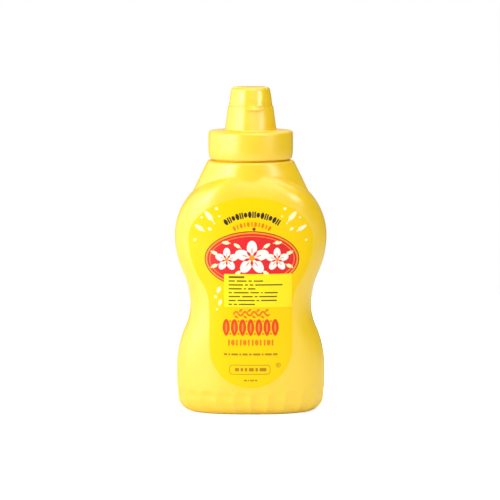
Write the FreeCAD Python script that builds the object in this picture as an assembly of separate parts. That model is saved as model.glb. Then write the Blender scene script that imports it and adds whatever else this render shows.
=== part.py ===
"""Squeeze bottle with a screw-on spout and a shut flip lid.

Millimetres.  The origin is the middle of the base, +Z is up and the front faces -Y.
The bottle is an oval body with a waist, under a tapered shoulder and a round neck.
The closure stands on the neck rim, the lid shuts on the spout, and a thin label lies on
the front and on the back, with a small sticker on the front one.
"""
import FreeCAD, Part
import math
import os

Vector = FreeCAD.Vector

# Body: widths are measured across X, depths across Y.
LOWER_LOBE_WIDTH = 72.4
LOWER_LOBE_HEIGHT = 21.5
WAIST_WIDTH = 59.6
WAIST_HEIGHT = 53.0
UPPER_LOBE_WIDTH = 74.6
UPPER_LOBE_HEIGHT = 87.0
BODY_DEPTH = 45.6
LOWER_LOBE_SHARE = 0.65  # part of the lobe-to-waist curve that is the lobe's own arc
UPPER_LOBE_SHARE = 0.54
LOBE_SQUARENESS = 2.15  # exponent of the oval section, 2 is an ellipse
WAIST_SQUARENESS = 2.5

# Heel: the rounded bottom edge, with flats pressed round it.
HEEL_RADIUS = 7.5
HEEL_TUCK = 0.9  # how much narrower each side is at the heel than at the lower lobe
FLAT_COUNT = 22
FLAT_HEIGHT = 8.2
FLAT_RUN_OUT = 2.4  # height over which a flat fades into the body above it
FLAT_INSET = 0.12
BASE_RING_WIDTH = 6.0
BASE_RECESS_DEPTH = 1.0

# Top of the body, which curves in until the shoulder breaks out of it.
CROWN_RADIUS = 27.5
CROWN_TOP = 113.5
CROWN_DEPTH_START = 98.0
CROWN_DEPTH_RADIUS = 62.0

# Shoulder: an oval cone that ends round, under a short neck.
SHOULDER_FOOT = 100.0
SHOULDER_WIDTH_TUCK = 5.0  # how far its foot lies inside the upper lobe, on each side
SHOULDER_DEPTH_TUCK = 1.0
SHOULDER_TOP = 123.7
SHOULDER_TOP_DIAMETER = 42.0
SHOULDER_EDGE_RADIUS = 0.8
NECK_DIAMETER = 38.4
NECK_SHOWING = 0.9

# Closure: a collar with a conical spout.
COLLAR_DIAMETER = 41.6
COLLAR_HEIGHT = 13.7
COLLAR_FOOT_ROUND = 5.0  # height over which the collar's side draws in to its foot
COLLAR_FOOT_TUCK = 0.7  # how far it draws in
COLLAR_TOP_RADIUS = 1.4
SPOUT_FOOT_DIAMETER = 25.4
SPOUT_TOP_DIAMETER = 22.2
SPOUT_HEIGHT = 12.1
SPOUT_FILLET = 1.1
SPOUT_RIM_RADIUS = 0.25

# Lid: a tapered cap with a thumb tab, which hangs a little over the spout.
LID_LEDGE = 0.45
LID_TOP_DIAMETER = 19.2
LID_HEIGHT = 9.3
LID_TOP_RADIUS = 1.9
LID_FOOT_RADIUS = 0.2
TAB_HALF_WIDTH = 4.8
TAB_REACH = 1.2
TAB_HANG = 1.8
TAB_HEIGHT = 2.5
TAB_TAPER = 1.0  # how much smaller its disc is at its top
TAB_RADIUS = 0.4
TAB_TOP_RADIUS = 0.7
TAB_CLEARANCE = 0.1
CLOSURE_TURN = 11.0  # degrees that the tab stands to the right of the front

# Labels and sticker.
LABEL_THICKNESS = 0.14
LABEL_UPPER_WIDTH = 60.8
LABEL_UPPER_HEIGHT = 86.4
LABEL_CAP_RISE = 20.6
LABEL_TAIL_WIDTH = 40.5
LABEL_TAIL_TOP = 54.0
LABEL_TAIL_BOTTOM = 34.0
LABEL_LOBE_SHARE = 0.66
STICKER_THICKNESS = 0.10
STICKER_WIDTH = 32.8
STICKER_HEIGHT = 16.2
STICKER_CENTRE_X = 3.5
STICKER_CENTRE_HEIGHT = 61.7

# How finely curves are sampled.
SECTION_POINTS = 40
SECTION_SPACING = 4.5
HEEL_STEPS = 6
OUTLINE_STEPS = 10
EDGE_STEPS = 4
CORNER_SEARCH_STEPS = 720
CUT_MARGIN = 1.0  # how far a cutting tool reaches past what it cuts
SHARP_CORNERS = 2  # makeOffset2D's joint that keeps corners sharp
NEAR = 0.01  # how close an edge lies to the place where it is looked for


def s_curve(height, lobe_height, lobe_half, waist_height, waist_half, lobe_share):
    """Half width on two tangent arcs that run from a lobe to a waist."""
    run = abs(waist_height - lobe_height)
    drop = lobe_half - waist_half
    both_radii = (run ** 2 + drop ** 2) / (2 * drop)
    lobe_radius = lobe_share * both_radii
    waist_radius = both_radii - lobe_radius
    from_lobe = min(abs(height - lobe_height), run)
    if from_lobe < lobe_share * run:
        return lobe_half - sagitta(lobe_radius, from_lobe)
    return waist_half + sagitta(waist_radius, run - from_lobe)


def sagitta(radius, offset):
    """How far an arc of this radius falls away at an offset from its crest."""
    return radius - math.sqrt(radius ** 2 - min(offset, radius) ** 2)


def body_half_width(height):
    """Half width of the oval body, without the heel's rounding."""
    lower = LOWER_LOBE_WIDTH / 2
    waist = WAIST_WIDTH / 2
    upper = UPPER_LOBE_WIDTH / 2
    if height < LOWER_LOBE_HEIGHT:
        below = (LOWER_LOBE_HEIGHT - height) / LOWER_LOBE_HEIGHT
        return lower - HEEL_TUCK * below ** 2
    if height < WAIST_HEIGHT:
        return s_curve(height, LOWER_LOBE_HEIGHT, lower, WAIST_HEIGHT, waist, LOWER_LOBE_SHARE)
    if height < UPPER_LOBE_HEIGHT:
        return s_curve(height, UPPER_LOBE_HEIGHT, upper, WAIST_HEIGHT, waist, UPPER_LOBE_SHARE)
    return upper - sagitta(CROWN_RADIUS, height - UPPER_LOBE_HEIGHT)


def body_half_depth(height):
    """Half depth of the oval body, which is straight up to its crown."""
    above = max(height - CROWN_DEPTH_START, 0)
    return BODY_DEPTH / 2 - sagitta(CROWN_DEPTH_RADIUS, above)


def squareness(height):
    """Exponent of the oval section: squarer at the waist than at the lobes."""
    if height < LOWER_LOBE_HEIGHT or height > UPPER_LOBE_HEIGHT:
        return LOBE_SQUARENESS
    lobe = LOWER_LOBE_WIDTH if height < WAIST_HEIGHT else UPPER_LOBE_WIDTH
    narrowing = (lobe / 2 - body_half_width(height)) / (lobe / 2 - WAIST_WIDTH / 2)
    return LOBE_SQUARENESS + (WAIST_SQUARENESS - LOBE_SQUARENESS) * narrowing


def oval_point(angle, half_width, half_depth, exponent, height):
    """Point at an angle round a superellipse."""
    across = math.cos(angle)
    deep = math.sin(angle)
    x = half_width * math.copysign(abs(across) ** (2 / exponent), across)
    y = half_depth * math.copysign(abs(deep) ** (2 / exponent), deep)
    return Vector(x, y, height)


def oval_wire(half_width, half_depth, exponent, height):
    """Closed smooth wire round a superellipse."""
    points = []
    for step in range(SECTION_POINTS):
        angle = 2 * math.pi * step / SECTION_POINTS
        points.append(oval_point(angle, half_width, half_depth, exponent, height))
    # Every section has the same even knots, so that a loft through them stays light.
    knots = [float(step) for step in range(SECTION_POINTS + 1)]
    curve = Part.BSplineCurve()
    curve.interpolate(Points=points, PeriodicFlag=True, Parameters=knots)
    return Part.Wire([curve.toShape()])


def body_stations():
    """Heights of the body's sections: close together round the heel, even above it."""
    heights = []
    for step in range(HEEL_STEPS):
        turn = 0.5 * math.pi * step / HEEL_STEPS
        heights.append(HEEL_RADIUS * (1 - math.cos(turn)))
    count = round((CROWN_TOP - HEEL_RADIUS) / SECTION_SPACING)
    for step in range(count + 1):
        heights.append(HEEL_RADIUS + (CROWN_TOP - HEEL_RADIUS) * step / count)
    return heights


def body_section(height, skin=0.0):
    """Section wire of the body, grown outwards by a skin's thickness."""
    tuck = sagitta(HEEL_RADIUS, max(HEEL_RADIUS - height, 0))
    half_width = body_half_width(height) - tuck + skin
    half_depth = body_half_depth(height) - tuck + skin
    return oval_wire(half_width, half_depth, squareness(height), height)


def body_solid(skin=0.0):
    """The oval body from its base to its crown."""
    sections = [body_section(height, skin) for height in body_stations()]
    return Part.makeLoft(sections, True)


def flat_corners():
    """Corners of the flats, evenly spaced round the body at the top of the heel."""
    half_width = body_half_width(HEEL_RADIUS) - FLAT_INSET
    half_depth = body_half_depth(HEEL_RADIUS) - FLAT_INSET
    ring = []
    for step in range(CORNER_SEARCH_STEPS + 1):
        angle = 2 * math.pi * step / CORNER_SEARCH_STEPS - math.pi / 2
        ring.append(oval_point(angle, half_width, half_depth, LOBE_SQUARENESS, 0))
    travelled = [0.0]
    for start, end in zip(ring, ring[1:]):
        travelled.append(travelled[-1] + start.distanceToPoint(end))
    corners = []
    for index in range(FLAT_COUNT):
        target = travelled[-1] * index / FLAT_COUNT
        nearest = min(range(CORNER_SEARCH_STEPS), key=lambda step: abs(travelled[step] - target))
        corners.append(ring[nearest])
    return corners


def flat_ring():
    """Ring that is cut away to press the flats into the heel."""
    corners = flat_corners()
    polygon = Part.makePolygon(corners + corners[:1])
    polygon.translate(Vector(0, 0, -CUT_MARGIN))
    rise = Vector(0, 0, FLAT_HEIGHT + CUT_MARGIN)
    core = Part.Face(polygon).extrude(rise)
    foot = polygon.translated(rise)
    flare = foot.makeOffset2D(FLAT_RUN_OUT, SHARP_CORNERS).translated(Vector(0, 0, FLAT_RUN_OUT))
    run_out = Part.makeLoft([foot, flare], True, True)
    reach = max(LOWER_LOBE_WIDTH, BODY_DEPTH)
    low_corner = Vector(-reach, -reach, -CUT_MARGIN)
    slab = Part.makeBox(2 * reach, 2 * reach, rise.z + FLAT_RUN_OUT, low_corner)
    return slab.cut(core).cut(run_out)


def base_recess():
    """Shallow recess under the base, inside the ring that the bottle stands on."""
    half_width = body_half_width(0) - HEEL_RADIUS - BASE_RING_WIDTH
    half_depth = body_half_depth(0) - HEEL_RADIUS - BASE_RING_WIDTH
    mouth = oval_wire(half_width + BASE_RECESS_DEPTH, half_depth + BASE_RECESS_DEPTH, 2, 0)
    floor = oval_wire(half_width, half_depth, 2, BASE_RECESS_DEPTH)
    return Part.makeLoft([mouth, floor], True)


def shoulder_solid():
    """Oval cone that turns round towards its top and ends in a rounded edge."""
    top_radius = SHOULDER_TOP_DIAMETER / 2
    foot_half_width = UPPER_LOBE_WIDTH / 2 - SHOULDER_WIDTH_TUCK
    foot_half_depth = BODY_DEPTH / 2 - SHOULDER_DEPTH_TUCK
    sections = [oval_wire(foot_half_width, foot_half_depth, 2, SHOULDER_FOOT)]
    for step in range(EDGE_STEPS + 1):
        turn = 0.5 * math.pi * step / EDGE_STEPS
        radius = top_radius - SHOULDER_EDGE_RADIUS * (1 - math.cos(turn))
        height = SHOULDER_TOP - SHOULDER_EDGE_RADIUS * (1 - math.sin(turn))
        sections.append(oval_wire(radius, radius, 2, height))
    return Part.makeLoft(sections, True, True)


def bottle():
    """The whole bottle: body, shoulder and the stretch of neck below the closure."""
    body = body_solid().cut(flat_ring()).cut(base_recess())
    neck = Part.makeCylinder(NECK_DIAMETER / 2, neck_rim() - SHOULDER_FOOT, Vector(0, 0, SHOULDER_FOOT))
    return body.fuse([shoulder_solid(), neck]).removeSplitter()


def neck_rim():
    """Height of the neck's rim, where the closure stands."""
    return SHOULDER_TOP + NECK_SHOWING


def revolved(edges):
    """Solid of revolution round the Z axis from the edges of a half profile."""
    face = Part.Face(Part.Wire(edges))
    return face.revolve(Vector(0, 0, 0), Vector(0, 0, 1), 360)


def edges_at(solid, height, diameter):
    """Round edges of a solid at a height, with a diameter."""
    found = []
    for edge in solid.Edges:
        box = edge.BoundBox
        level = abs(box.ZMin - height) < NEAR and box.ZLength < NEAR
        if level and abs(edge.Curve.Radius - diameter / 2) < NEAR:
            found.append(edge)
    return found


def closure():
    """Collar and spout in one piece, standing on the neck rim."""
    collar_top = neck_rim() + COLLAR_HEIGHT
    radius = COLLAR_DIAMETER / 2
    side_radius = (COLLAR_FOOT_ROUND ** 2 + COLLAR_FOOT_TUCK ** 2) / (2 * COLLAR_FOOT_TUCK)
    half_way = COLLAR_FOOT_ROUND / 2
    foot = Vector(radius - COLLAR_FOOT_TUCK, 0, neck_rim())
    middle = Vector(radius - sagitta(side_radius, half_way), 0, neck_rim() + half_way)
    full = Vector(radius, 0, neck_rim() + COLLAR_FOOT_ROUND)
    shoulder = Vector(radius, 0, collar_top)
    axis_top = Vector(0, 0, collar_top)
    axis_foot = Vector(0, 0, neck_rim())
    edges = [
        Part.makeLine(axis_foot, foot),
        Part.Arc(foot, middle, full).toShape(),
        Part.makeLine(full, shoulder),
        Part.makeLine(shoulder, axis_top),
        Part.makeLine(axis_top, axis_foot),
    ]
    collar = revolved(edges)
    collar = collar.makeFillet(COLLAR_TOP_RADIUS, edges_at(collar, collar_top, COLLAR_DIAMETER))
    spout = Part.makeCone(SPOUT_FOOT_DIAMETER / 2, SPOUT_TOP_DIAMETER / 2, SPOUT_HEIGHT, axis_top)
    whole = collar.fuse(spout)
    whole = whole.makeFillet(SPOUT_FILLET, edges_at(whole, collar_top, SPOUT_FOOT_DIAMETER))
    rim = edges_at(whole, collar_top + SPOUT_HEIGHT, SPOUT_TOP_DIAMETER)
    return whole.makeFillet(SPOUT_RIM_RADIUS, rim)


def lid_foot():
    """Height at which the lid meets the spout."""
    return neck_rim() + COLLAR_HEIGHT + SPOUT_HEIGHT


def thumb_tab():
    """Crescent lip on the lid: a disc set off towards the front, cut clear of the spout."""
    spout_radius = SPOUT_TOP_DIAMETER / 2
    slope = (SPOUT_FOOT_DIAMETER - SPOUT_TOP_DIAMETER) / 2 / SPOUT_HEIGHT
    behind = spout_radius + slope * TAB_HANG
    tip = behind + TAB_REACH
    # The disc's edge passes through the spout's wall at the tab's two ends.
    ends_forward = math.sqrt(behind ** 2 - TAB_HALF_WIDTH ** 2)
    reach = tip - ends_forward
    disc_radius = (TAB_HALF_WIDTH ** 2 + reach ** 2) / (2 * reach)
    tab_foot = lid_foot() - TAB_HANG
    centre = Vector(0, -(tip - disc_radius), tab_foot)
    disc = Part.makeCone(disc_radius, disc_radius - TAB_TAPER, TAB_HEIGHT, centre)
    disc = disc.makeFillet(TAB_RADIUS, edges_at(disc, tab_foot, 2 * disc_radius))
    top_edges = edges_at(disc, tab_foot + TAB_HEIGHT, 2 * (disc_radius - TAB_TAPER))
    disc = disc.makeFillet(TAB_TOP_RADIUS, top_edges)
    core = Part.makeCone(
        behind + TAB_CLEARANCE, spout_radius + TAB_CLEARANCE, TAB_HANG, Vector(0, 0, tab_foot)
    )
    return disc.cut(core)


def lid():
    """Shut flip lid with its thumb tab."""
    foot_radius = SPOUT_TOP_DIAMETER / 2 - LID_LEDGE
    base = Vector(0, 0, lid_foot())
    cap = Part.makeCone(foot_radius, LID_TOP_DIAMETER / 2, LID_HEIGHT, base)
    cap = cap.makeFillet(LID_TOP_RADIUS, edges_at(cap, lid_foot() + LID_HEIGHT, LID_TOP_DIAMETER))
    cap = cap.makeFillet(LID_FOOT_RADIUS, edges_at(cap, lid_foot(), 2 * foot_radius))
    whole = cap.fuse(thumb_tab())
    whole.rotate(Vector(0, 0, 0), Vector(0, 0, 1), CLOSURE_TURN)
    return whole


def label_outline():
    """Outline of a label in the XZ plane: an oval cap, drawn-in flanks and a round tail."""
    upper = LABEL_UPPER_WIDTH / 2
    tail = LABEL_TAIL_WIDTH / 2
    right_flank = []
    for step in range(OUTLINE_STEPS + 1):
        height = LABEL_TAIL_TOP + (LABEL_UPPER_HEIGHT - LABEL_TAIL_TOP) * step / OUTLINE_STEPS
        half = s_curve(height, LABEL_UPPER_HEIGHT, upper, LABEL_TAIL_TOP, tail, LABEL_LOBE_SHARE)
        right_flank.append(Vector(half, 0, height))
    left_flank = [Vector(-point.x, 0, point.z) for point in right_flank]
    flanks = []
    for points in (right_flank, left_flank):
        curve = Part.BSplineCurve()
        curve.interpolate(Points=points, InitialTangent=Vector(0, 0, 1), FinalTangent=Vector(0, 0, 1))
        flanks.append(curve.toShape())
    cap_ellipse = Part.Ellipse(
        Vector(upper, 0, LABEL_UPPER_HEIGHT),
        Vector(0, 0, LABEL_UPPER_HEIGHT + LABEL_CAP_RISE),
        Vector(0, 0, LABEL_UPPER_HEIGHT),
    )
    cap = Part.Edge(cap_ellipse, 0, math.pi)
    tail_end = Part.Arc(
        Vector(-tail, 0, LABEL_TAIL_BOTTOM),
        Vector(0, 0, LABEL_TAIL_BOTTOM - tail),
        Vector(tail, 0, LABEL_TAIL_BOTTOM),
    ).toShape()
    right_side = Part.makeLine(Vector(tail, 0, LABEL_TAIL_BOTTOM), Vector(tail, 0, LABEL_TAIL_TOP))
    left_side = Part.makeLine(Vector(-tail, 0, LABEL_TAIL_TOP), Vector(-tail, 0, LABEL_TAIL_BOTTOM))
    edges = [right_side, flanks[0], cap, flanks[1], left_side, tail_end]
    return Part.Wire(Part.sortEdges(edges)[0])


def film(outline, below, thickness, towards):
    """Film with an outline, lying on a skin of the body on its front (-1) or back (+1)."""
    prism = Part.Face(outline).extrude(Vector(0, towards * BODY_DEPTH, 0))
    outside = prism.common(body_solid(below + thickness))
    return outside.cut(body_solid(below))


def front_label():
    """Label on the front."""
    return film(label_outline(), 0.0, LABEL_THICKNESS, -1)


def back_label():
    """Label on the back, with the same outline."""
    return film(label_outline(), 0.0, LABEL_THICKNESS, 1)


def sticker():
    """Small sticker over the front label."""
    left = STICKER_CENTRE_X - STICKER_WIDTH / 2
    foot = STICKER_CENTRE_HEIGHT - STICKER_HEIGHT / 2
    corners = [
        Vector(left, 0, foot),
        Vector(left + STICKER_WIDTH, 0, foot),
        Vector(left + STICKER_WIDTH, 0, foot + STICKER_HEIGHT),
        Vector(left, 0, foot + STICKER_HEIGHT),
    ]
    outline = Part.makePolygon(corners + corners[:1])
    return film(outline, LABEL_THICKNESS, STICKER_THICKNESS, -1)


PIECES = {
    "bottle": bottle,
    "closure": closure,
    "lid": lid,
    "front_label": front_label,
    "back_label": back_label,
    "sticker": sticker,
}


def main():
    """Build each piece and write it to its own file."""
    os.makedirs("parts", exist_ok=True)
    for name, build in PIECES.items():
        shape = build()
        box = shape.BoundBox
        print(
            f"{name}: valid {shape.isValid()}, solids {len(shape.Solids)}, "
            f"volume {shape.Volume:.1f}, x {box.XMin:.2f} {box.XMax:.2f}, "
            f"y {box.YMin:.2f} {box.YMax:.2f}, z {box.ZMin:.2f} {box.ZMax:.2f}"
        )
        shape.exportStep(f"parts/{name}.step")


main()
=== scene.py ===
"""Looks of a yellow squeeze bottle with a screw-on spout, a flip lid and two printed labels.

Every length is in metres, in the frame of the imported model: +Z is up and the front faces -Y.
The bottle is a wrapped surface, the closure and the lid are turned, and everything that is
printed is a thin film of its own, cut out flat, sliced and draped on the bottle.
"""

import logging
import math
from dataclasses import dataclass, field
from enum import Enum
from functools import partial
from typing import Callable, Dict, List, Sequence, Tuple

import bmesh
import bpy
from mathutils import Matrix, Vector

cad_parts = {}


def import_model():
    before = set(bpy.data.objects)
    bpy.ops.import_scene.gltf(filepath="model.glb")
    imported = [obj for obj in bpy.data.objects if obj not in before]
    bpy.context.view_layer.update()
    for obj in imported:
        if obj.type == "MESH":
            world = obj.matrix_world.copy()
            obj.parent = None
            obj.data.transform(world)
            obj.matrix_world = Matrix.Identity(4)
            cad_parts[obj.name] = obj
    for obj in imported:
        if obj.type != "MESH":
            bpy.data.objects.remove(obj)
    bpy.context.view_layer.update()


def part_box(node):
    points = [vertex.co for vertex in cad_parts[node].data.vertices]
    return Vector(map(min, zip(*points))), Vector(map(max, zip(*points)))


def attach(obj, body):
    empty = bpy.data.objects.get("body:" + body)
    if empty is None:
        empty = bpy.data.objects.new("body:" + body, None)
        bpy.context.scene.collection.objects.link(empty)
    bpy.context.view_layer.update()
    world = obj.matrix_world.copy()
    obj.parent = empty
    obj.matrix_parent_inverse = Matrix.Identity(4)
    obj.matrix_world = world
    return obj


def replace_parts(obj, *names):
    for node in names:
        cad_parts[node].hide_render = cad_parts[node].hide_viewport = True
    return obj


MM = 0.001
MERGE_DISTANCE = 0.001 * MM
LOG = logging.getLogger("squeeze_bottle")

Point = Tuple[float, float]


class Side(Enum):
    """The side of the bottle that a film lies on."""

    FRONT = -1
    BACK = 1


# ---------------------------------------------------------------- colour and number helpers


def tint(red: int, green: int, blue: int) -> Tuple[float, float, float, float]:
    """Turns a screen colour into the linear colour that a shader wants.

    Args:
        red, green, blue: the colour, each from 0 to 255.

    Returns:
        The linear colour with an alpha of 1.
    """

    def linear(value: int) -> float:
        """Turns one channel linear."""
        share = value / 255
        return share / 12.92 if share <= 0.04045 else ((share + 0.055) / 1.055) ** 2.4

    return (linear(red), linear(green), linear(blue), 1.0)


def sagitta(radius: float, offset: float) -> float:
    """Says how far an arc of this radius falls away at an offset from its crest."""
    return radius - math.sqrt(max(radius ** 2 - offset ** 2, 0.0))


def tangent_arcs(height: float, lobe: Point, waist: Point, share: float) -> float:
    """Gives a half width on two tangent arcs that run from a lobe to a waist.

    Args:
        height: where the half width is wanted.
        lobe, waist: (height, half width) of the curve's two ends.
        share: the part of the run that belongs to the lobe's own arc.

    Returns:
        The half width.
    """
    run = abs(waist[0] - lobe[0])
    drop = lobe[1] - waist[1]
    both_radii = (run ** 2 + drop ** 2) / (2 * drop)
    from_lobe = min(abs(height - lobe[0]), run)
    if from_lobe < share * run:
        return lobe[1] - sagitta(share * both_radii, from_lobe)
    return waist[1] + sagitta((1 - share) * both_radii, run - from_lobe)


def larger(first: float, second: float, blend: float) -> float:
    """Gives the larger of two numbers, with a soft change from one to the other.

    Args:
        first, second: the numbers.
        blend: how near to each other they start to blend.

    Returns:
        The larger number, raised a little where they are close.
    """
    near = max(blend - abs(first - second), 0.0) / blend
    return max(first, second) + near ** 2 * blend / 4


def oval_reach(angle: float, half_width: float, half_depth: float, squareness: float) -> float:
    """Says how far a superellipse lies from its centre in one direction."""
    across = abs(math.cos(angle)) / half_width
    deep = abs(math.sin(angle)) / half_depth
    return (across ** squareness + deep ** squareness) ** (-1 / squareness)


# ---------------------------------------------------------------- modelling helpers


def deselect_all() -> None:
    """Deselects every object, the loaded frame included."""
    if bpy.context.object and bpy.context.object.mode != "OBJECT":
        bpy.ops.object.mode_set(mode="OBJECT")
    bpy.ops.object.select_all(action="DESELECT")


def pick(piece: bpy.types.Object) -> None:
    """Makes a piece the only selected and the active object."""
    deselect_all()
    piece.select_set(True)
    bpy.context.view_layer.objects.active = piece


def settle(piece: bpy.types.Object) -> None:
    """Applies a piece's place, turn and size to its mesh."""
    pick(piece)
    bpy.ops.object.transform_apply(location=True, rotation=True, scale=True)


def edit(piece: bpy.types.Object, mode: str = "VERT") -> bmesh.types.BMesh:
    """Opens a piece in edit mode with nothing selected.

    Args:
        piece: the piece to open.
        mode: what is selected there, VERT, EDGE or FACE.

    Returns:
        The mesh that is being edited.
    """
    pick(piece)
    bpy.ops.object.mode_set(mode="EDIT")
    bpy.ops.mesh.select_mode(type=mode)
    select_mesh("DESELECT")
    return bmesh.from_edit_mesh(piece.data)


def select_mesh(action: str = "SELECT") -> None:
    """Selects or deselects the whole of the mesh that is being edited."""
    bpy.ops.mesh.select_all(action=action)


def leave_edit() -> None:
    """Goes back to object mode."""
    bpy.ops.object.mode_set(mode="OBJECT")


def join(pieces: Sequence[bpy.types.Object], name: str) -> bpy.types.Object:
    """Joins pieces into the first one and names it."""
    deselect_all()
    for piece in pieces:
        piece.select_set(True)
    bpy.context.view_layer.objects.active = pieces[0]
    if len(pieces) > 1:
        bpy.ops.object.join()
    pieces[0].name = name
    pieces[0].data.name = name
    return pieces[0]


def outward(piece: bpy.types.Object) -> None:
    """Merges doubles and turns every face outwards."""
    edit(piece)
    select_mesh()
    bpy.ops.mesh.remove_doubles(threshold=MERGE_DISTANCE)
    bpy.ops.mesh.normals_make_consistent(inside=False)
    leave_edit()


def smooth(piece: bpy.types.Object, degrees: float = 40.0) -> None:
    """Shades a piece smooth, with sharp edges above an angle."""
    pick(piece)
    bpy.ops.object.shade_smooth_by_angle(angle=math.radians(degrees))


def apply_modifier(piece: bpy.types.Object, kind: str, **settings: object) -> None:
    """Adds a modifier with these settings and applies it."""
    pick(piece)
    modifier = piece.modifiers.new(kind.title(), kind)
    for key, value in settings.items():
        setattr(modifier, key, value)
    bpy.ops.object.modifier_apply(modifier=modifier.name)


def wrapped(
    name: str, angles: Sequence[float], rows: Sequence[Callable[[float], Vector]]
) -> bpy.types.Object:
    """Wraps a grid round the Z axis, seals its seam and closes its two ends.

    The grid's columns keep their angle all the way up, which no operator gives a section
    whose shape changes with height, so its vertices are placed one by one.

    Args:
        name: name of the new piece.
        angles: direction of each column, from the axis.
        rows: for each row, a function that turns a direction into a place.

    Returns:
        The closed piece.
    """
    columns = len(angles)
    bpy.ops.mesh.primitive_grid_add(x_subdivisions=columns, y_subdivisions=len(rows) - 1, size=2)
    piece = bpy.context.object
    piece.name = name
    piece.data.name = name
    for vertex in piece.data.vertices:
        column = round((vertex.co.x + 1) / 2 * columns) % columns
        row = round((vertex.co.y + 1) / 2 * (len(rows) - 1))
        vertex.co = rows[row](angles[column])
    edit(piece)
    select_mesh()
    bpy.ops.mesh.remove_doubles(threshold=MERGE_DISTANCE)
    select_mesh("DESELECT")
    bpy.ops.mesh.select_non_manifold()
    bpy.ops.mesh.edge_face_add()
    select_mesh()
    bpy.ops.mesh.normals_make_consistent(inside=False)
    leave_edit()
    return piece


def row_at(height: float, reach: Callable[[float], float]) -> Callable[[float], Vector]:
    """Makes one row of a wrapped grid from how far it reaches in each direction."""

    def place(angle: float) -> Vector:
        """Gives the row's place in one direction."""
        distance = reach(angle)
        return Vector((distance * math.cos(angle), distance * math.sin(angle), height))

    return place


def turned(name: str, profile: Sequence[Point], segments: int = 160) -> bpy.types.Object:
    """Turns a profile round the Z axis by extruding a ring along it.

    Args:
        name: name of the new piece.
        profile: (radius, height) of each ring, in order.
        segments: how many sides the ring has.

    Returns:
        The closed piece.
    """
    first_radius, first_height = profile[0]
    bpy.ops.mesh.primitive_circle_add(
        vertices=segments, radius=first_radius, location=(0, 0, first_height), fill_type="NGON"
    )
    piece = bpy.context.object
    piece.name = name
    piece.data.name = name
    settle(piece)
    edit(piece)
    select_mesh()
    for (radius, height), (next_radius, next_height) in zip(profile, profile[1:]):
        bpy.ops.mesh.extrude_region_move(
            TRANSFORM_OT_translate={"value": (0, 0, next_height - height)}
        )
        scale = next_radius / radius
        bpy.ops.transform.resize(value=(scale, scale, 1), center_override=(0, 0, next_height))
    leave_edit()
    outward(piece)
    return piece


def arc_points(centre: Point, radius: float, start: float, end: float, steps: int) -> List[Point]:
    """Lists points on an arc.

    Args:
        centre: centre of the arc.
        radius: its radius.
        start, end: directions of its ends, in degrees.
        steps: how many stretches it is divided into.

    Returns:
        The points, both ends included.
    """
    points = []
    for step in range(steps + 1):
        turn = math.radians(start + (end - start) * step / steps)
        points.append((centre[0] + radius * math.cos(turn), centre[1] + radius * math.sin(turn)))
    return points


# ---------------------------------------------------------------- shader helpers


class Sockets:
    """Short ways to add and link nodes in one node tree."""

    def __init__(self, tree: bpy.types.NodeTree) -> None:
        """Keeps the tree that nodes are added to."""
        self.tree = tree

    def node(self, kind: str, **settings: object) -> bpy.types.Node:
        """Adds a node and sets its properties."""
        made = self.tree.nodes.new(kind)
        for key, value in settings.items():
            setattr(made, key, value)
        return made

    def link(self, source: bpy.types.NodeSocket, target: bpy.types.NodeSocket) -> None:
        """Links an output to an input."""
        self.tree.links.new(source, target)

    def noise(self, where: bpy.types.NodeSocket, scale: float, detail: float) -> bpy.types.NodeSocket:
        """Adds a noise of a scale and gives its value."""
        made = self.node("ShaderNodeTexNoise")
        made.inputs["Scale"].default_value = scale
        made.inputs["Detail"].default_value = detail
        self.link(where, made.inputs["Vector"])
        return made.outputs["Fac"]

    def bump(
        self, strength: bpy.types.NodeSocket, height: bpy.types.NodeSocket, distance: float
    ) -> bpy.types.Node:
        """Adds a bump of a distance and gives its node."""
        made = self.node("ShaderNodeBump")
        made.inputs["Distance"].default_value = distance
        self.link(strength, made.inputs["Strength"])
        self.link(height, made.inputs["Height"])
        return made

    def maths(self, operation: str, *values: bpy.types.NodeSocket) -> bpy.types.Node:
        """Adds a sum whose first inputs are these values and gives its node."""
        made = self.node("ShaderNodeMath", operation=operation)
        for value, socket in zip(values, made.inputs):
            self.link(value, socket)
        return made

    def remap(self, value: bpy.types.NodeSocket, low: float, high: float) -> bpy.types.NodeSocket:
        """Spreads a noise value from its usual range over low to high."""
        made = self.node("ShaderNodeMapRange")
        made.inputs["From Min"].default_value = 0.3
        made.inputs["From Max"].default_value = 0.7
        made.inputs["To Min"].default_value = low
        made.inputs["To Max"].default_value = high
        self.link(value, made.inputs["Value"])
        return made.outputs["Result"]


def new_group(
    name: str, own_inputs: Sequence[str]
) -> Tuple[bpy.types.NodeTree, bpy.types.Node, bpy.types.Node]:
    """Makes an empty shader node group for a surface.

    Args:
        name: name of the group.
        own_inputs: names of its number inputs, beside Colour and Roughness.

    Returns:
        The group, its input node and its output node.
    """
    group = bpy.data.node_groups.new(name, "ShaderNodeTree")
    inputs = {"Colour": "Color", "Roughness": "Float", **{own: "Float" for own in own_inputs}}
    outputs = {"Colour": "Color", "Roughness": "Float", "Normal": "Vector"}
    for direction, sockets in (("INPUT", inputs), ("OUTPUT", outputs)):
        for socket_name, kind in sockets.items():
            group.interface.new_socket(
                name=socket_name, in_out=direction, socket_type="NodeSocket" + kind
            )
    return group, group.nodes.new("NodeGroupInput"), group.nodes.new("NodeGroupOutput")


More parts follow.
